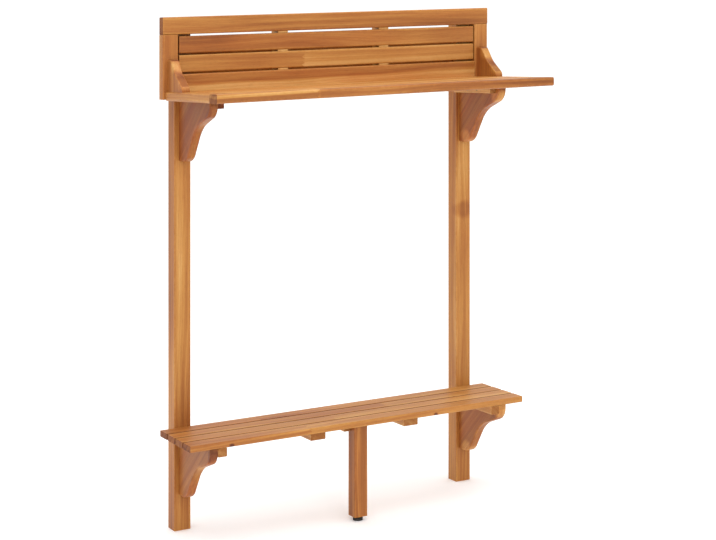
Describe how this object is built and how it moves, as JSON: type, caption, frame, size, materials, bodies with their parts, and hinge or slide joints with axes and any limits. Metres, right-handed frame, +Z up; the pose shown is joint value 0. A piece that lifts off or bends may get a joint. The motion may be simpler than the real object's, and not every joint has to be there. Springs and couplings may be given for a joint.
{
  "type": "balcony railing bar table",
  "caption": "Standing-height bar table for a balcony railing: slatted top with a rear splash panel, low slatted shelf, bracketed rear posts and a front leg on a levelling foot.",
  "frame": {"origin": "on the floor, under the middle of the table's width and depth", "axes": "+X along the railing, to the right as the user faces it; +Y from the user towards the railing; +Z up"},
  "size_m": [0.9, 0.374, 1.225],
  "materials": {
    "frame_wood": "oiled hardwood, satin",
    "panel_wood": "oiled hardwood, satin",
    "tabletop_wood": "oiled hardwood, satin",
    "shelf_wood": "oiled hardwood, satin",
    "dowel_wood": "dry beech",
    "plated_steel": "zinc plated",
    "insert_brass": "turned",
    "foot_plastic": "moulded black"
  },
  "bodies": {
    "table": {"bracket_post_screws": "plated_steel", "bracket_side_screws": "plated_steel", "cheek_left": "frame_wood", "cheek_right": "frame_wood", "cheek_screws": "plated_steel", "leg": "frame_wood", "leg_batten_screws": "plated_steel", "leg_dowels": "dowel_wood", "leg_insert": "insert_brass", "panel_batten_left": "panel_wood", "panel_batten_right": "panel_wood", "panel_batten_screws": "plated_steel", "panel_bottom_rail": "panel_wood", "panel_dowels": "dowel_wood", "panel_edge_screws": "plated_steel", "panel_post_screws": "plated_steel", "panel_slat_1": "panel_wood", "panel_slat_2": "panel_wood", "panel_stile_left": "panel_wood", "panel_stile_right": "panel_wood", "panel_top_rail": "panel_wood", "post_left": "frame_wood", "post_right": "frame_wood", "rear_rail": "frame_wood", "rear_rail_dowels": "dowel_wood", "rear_rail_screws": "plated_steel", "shelf_batten_screws": "plated_steel", "shelf_board_1": "shelf_wood", "shelf_board_2": "shelf_wood", "shelf_board_3": "shelf_wood", "shelf_board_4": "shelf_wood", "shelf_bracket_left": "frame_wood", "shelf_bracket_right": "frame_wood", "shelf_end_batten_left": "shelf_wood", "shelf_end_batten_right": "shelf_wood", "shelf_leg_batten": "shelf_wood", "shelf_mid_batten_left": "shelf_wood", "shelf_mid_batten_right": "shelf_wood", "top_batten_left": "tabletop_wood", "top_batten_right": "tabletop_wood", "top_batten_screws": "plated_steel", "top_bracket_left": "frame_wood", "top_bracket_right": "frame_wood", "top_end_rail_left": "tabletop_wood", "top_end_rail_right": "tabletop_wood", "top_frame_dowels": "dowel_wood", "top_front_rail": "tabletop_wood", "top_slat_1": "tabletop_wood", "top_slat_2": "tabletop_wood", "top_slat_3": "tabletop_wood", "top_slat_4": "tabletop_wood", "top_slat_5": "tabletop_wood", "top_slat_6": "tabletop_wood", "top_slat_dowels": "dowel_wood"},
    "pad": {"foot_pad": "foot_plastic"},
    "stud": {"foot_stud": "plated_steel"}
  },
  "joints": [
    {"name": "foot_height", "type": "slide", "parent": "table", "child": "pad", "axis": [0, 0, -1], "range_m": [-0.0015, 0.015]},
    {"name": "foot_screw", "type": "hinge", "parent": "pad", "child": "stud", "pos_m": [0, -0.008, 0], "axis": [0, 0, -1], "range_deg": [-432, 4320]}
  ],
  "couplings": [
    {"joint": "foot_height", "follows": "foot_screw", "m_per_rad": 0.0001989}
  ]
}
